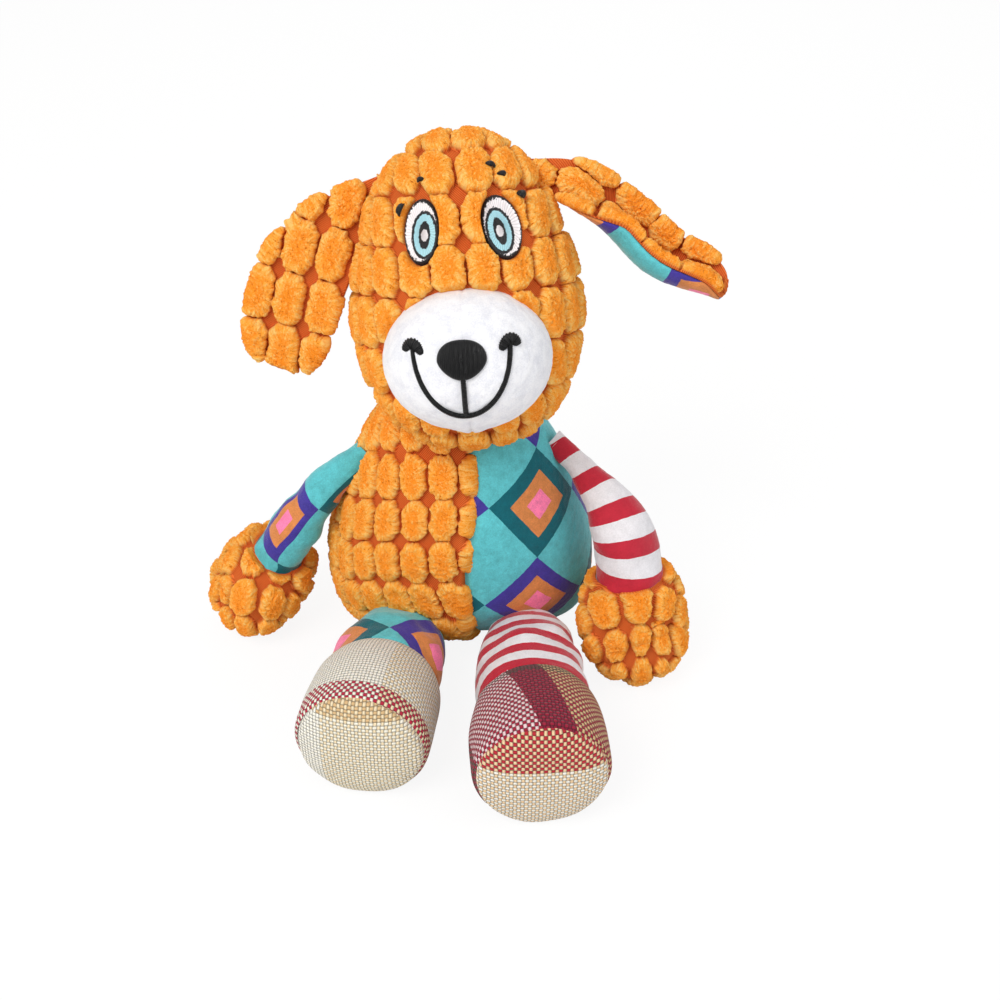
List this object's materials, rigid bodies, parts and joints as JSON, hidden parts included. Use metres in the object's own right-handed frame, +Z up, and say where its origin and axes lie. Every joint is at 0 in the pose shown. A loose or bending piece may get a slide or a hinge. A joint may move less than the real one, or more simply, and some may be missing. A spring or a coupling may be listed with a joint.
{
  "type": "squeaky dog toy",
  "caption": "Stuffed plush dog that sits up, with floppy ears, sewn-on arms and legs, a dish-shaped squeaker in its belly, and patchwork cloths.",
  "frame": {"origin": "middle of the body's flat seat, on the floor that the toy sits on", "axes": "+Z up, the dog looks along -Y, and the dog's own left side is at +X"},
  "size_m": [0.2055, 0.1639, 0.2018],
  "materials": {
    "plush": "deep orange pile in raised tufts on a twill ground",
    "print": "short brushed pile printed with nested diamonds",
    "stripe": "short brushed pile with red and white stripes",
    "white_pile": "short white brushed pile",
    "linen": "coarse basket weave in natural thread with a red and white band",
    "tweed": "coarse basket weave in maroon, brown and tan",
    "black_thread": "dense satin stitch",
    "blue_thread": "satin stitch rings in black, white and pale blue",
    "filling": "polyester fibre fill",
    "squeaker_plastic": "soft blow-moulded plastic",
    "reed_plastic": "thin clear-white film"
  },
  "bodies": {
    "torso": {"body_front_plush": "plush", "body_back_plush": "plush", "body_front_print": "print", "body_back_print": "print", "body_stuffing_front": "filling", "body_stuffing_back": "filling", "squeaker_bulb_back": "squeaker_plastic", "whistle_body": "squeaker_plastic", "whistle_cap": "squeaker_plastic"},
    "squeaker_front": {"squeaker_bulb_front": "squeaker_plastic"},
    "reed": {"whistle_reed": "reed_plastic"},
    "neck": {"neck_stuffing": "filling"},
    "head": {"head_front_skin": "plush", "head_back_skin": "plush", "muzzle_skin": "white_pile", "head_stuffing": "filling", "right_eye_patch": "blue_thread", "left_eye_patch": "blue_thread", "nose_pad": "black_thread", "mouth_stitch": "black_thread"},
    "right_ear": {"right_ear_plush": "plush", "right_ear_lining": "stripe"},
    "left_ear": {"left_ear_plush": "plush", "left_ear_lining": "print"},
    "right_arm": {"right_arm_sleeve": "print", "right_arm_hand": "plush", "right_arm_stuffing": "filling"},
    "left_arm": {"left_arm_sleeve": "stripe", "left_arm_hand": "plush", "left_arm_stuffing": "filling"},
    "right_leg": {"right_leg_skin": "print", "right_leg_foot_upper": "linen", "right_leg_foot_sole": "linen", "right_leg_stuffing": "filling"},
    "left_leg": {"left_leg_skin": "stripe", "left_leg_foot_upper": "tweed", "left_leg_foot_sole": "linen", "left_leg_stuffing": "filling"}
  },
  "joints": [
    {"name": "head_nod", "type": "hinge", "parent": "torso", "child": "neck", "pos_m": [0.00204, -0.0039, 0.104], "axis": [1, 0, 0], "range_deg": [-15, 15], "stiffness_Nm_per_rad": 0.25},
    {"name": "head_turn", "type": "hinge", "parent": "neck", "child": "head", "pos_m": [0.00204, -0.0039, 0.104], "axis": [0, 0, 1], "range_deg": [-25, 25], "stiffness_Nm_per_rad": 0.1},
    {"name": "right_ear_flop", "type": "hinge", "parent": "head", "child": "right_ear", "pos_m": [-0.0245, 0.00585, 0.18078], "axis": [0, 0.9397, -0.342], "range_deg": [0, 55], "stiffness_Nm_per_rad": 0.05},
    {"name": "left_ear_flop", "type": "hinge", "parent": "head", "child": "left_ear", "pos_m": [0.02309, 0.00756, 0.18547], "axis": [0, -0.9397, 0.342], "range_deg": [-25, 35], "stiffness_Nm_per_rad": 0.05},
    {"name": "right_arm_swing", "type": "hinge", "parent": "torso", "child": "right_arm", "pos_m": [-0.03704, -0.00303, 0.07992], "axis": [-0.0349, 0.9994, 0], "range_deg": [0, 60], "stiffness_Nm_per_rad": 0.02},
    {"name": "left_arm_swing", "type": "hinge", "parent": "torso", "child": "left_arm", "pos_m": [0.03373, -0.00444, 0.0864], "axis": [-0.7071, -0.7071, 0], "range_deg": [0, 60], "stiffness_Nm_per_rad": 0.02},
    {"name": "right_leg_swing", "type": "hinge", "parent": "torso", "child": "right_leg", "pos_m": [-0.02346, -0.02475, 0.01404], "axis": [-0.9903, 0.1392, 0], "range_deg": [-30, 12], "stiffness_Nm_per_rad": 0.03},
    {"name": "left_leg_swing", "type": "hinge", "parent": "torso", "child": "left_leg", "pos_m": [0.02346, -0.02475, 0.01404], "axis": [-0.9986, -0.0523, 0], "range_deg": [-30, 12], "stiffness_Nm_per_rad": 0.03},
    {"name": "squeaker_squeeze", "type": "slide", "parent": "torso", "child": "squeaker_front", "axis": [0, 1, 0], "range_m": [0, 0.006], "stiffness_N_per_m": 200},
    {"name": "reed_flutter", "type": "hinge", "parent": "torso", "child": "reed", "pos_m": [0, 0.022, 0.044], "axis": [1, 0, 0], "range_deg": [-6, 6], "stiffness_Nm_per_rad": 0.0001}
  ]
}
